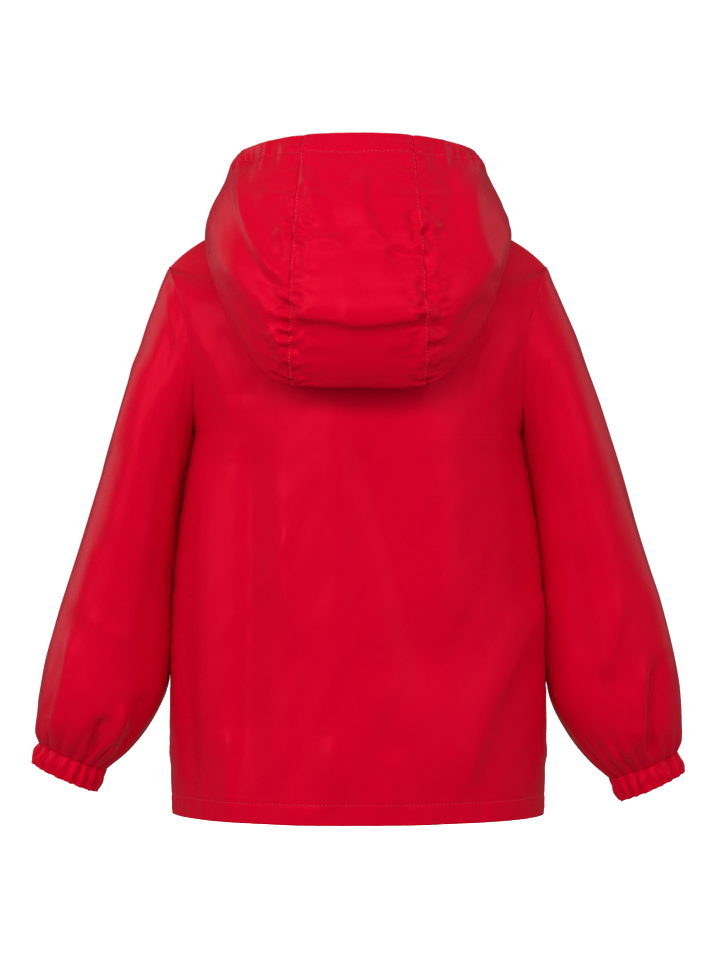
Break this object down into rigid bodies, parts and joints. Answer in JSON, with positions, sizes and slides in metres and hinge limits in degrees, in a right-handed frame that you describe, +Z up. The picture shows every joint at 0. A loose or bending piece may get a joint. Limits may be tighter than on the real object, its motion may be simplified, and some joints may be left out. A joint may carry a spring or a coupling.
{
  "type": "kids rain jacket",
  "caption": "Child's hooded rain jacket, filled out and hollow, with gathered cuffs, a hood lying down the back and a centre zip with a swinging pull tab.",
  "frame": {"origin": "the middle of the neck opening, where the wearer's neck holds the jacket", "axes": "+Z up, +Y towards the jacket's back, +X towards the wearer's left"},
  "size_m": [0.5568, 0.2492, 0.569],
  "materials": {
    "shell_fabric": "smooth coated woven fabric, bright red, with a soft sheen",
    "cuff_fabric": "the same coated fabric, gathered over elastic",
    "zip_tape": "red woven tape with a moulded red chain",
    "zip_metal": "plain satin metal slider and pull"
  },
  "bodies": {
    "garment": {"back": "shell_fabric", "front_left": "shell_fabric", "front_right": "shell_fabric", "sleeve_upper_left": "shell_fabric", "sleeve_lower_left": "shell_fabric", "sleeve_upper_right": "shell_fabric", "sleeve_lower_right": "shell_fabric", "cuff_left": "cuff_fabric", "cuff_right": "cuff_fabric", "hood_centre": "shell_fabric", "hood_side_left": "shell_fabric", "hood_side_right": "shell_fabric", "zip_tape_left": "zip_tape", "zip_tape_right": "zip_tape", "zip_slider": "zip_metal"},
    "pull_tab": {"zip_pull": "zip_metal"}
  },
  "joints": [
    {"name": "pull_swing", "type": "hinge", "parent": "garment", "child": "pull_tab", "pos_m": [0, -0.07183, -0.02066], "axis": [-1, 0, 0], "range_deg": [-15, 158]}
  ]
}
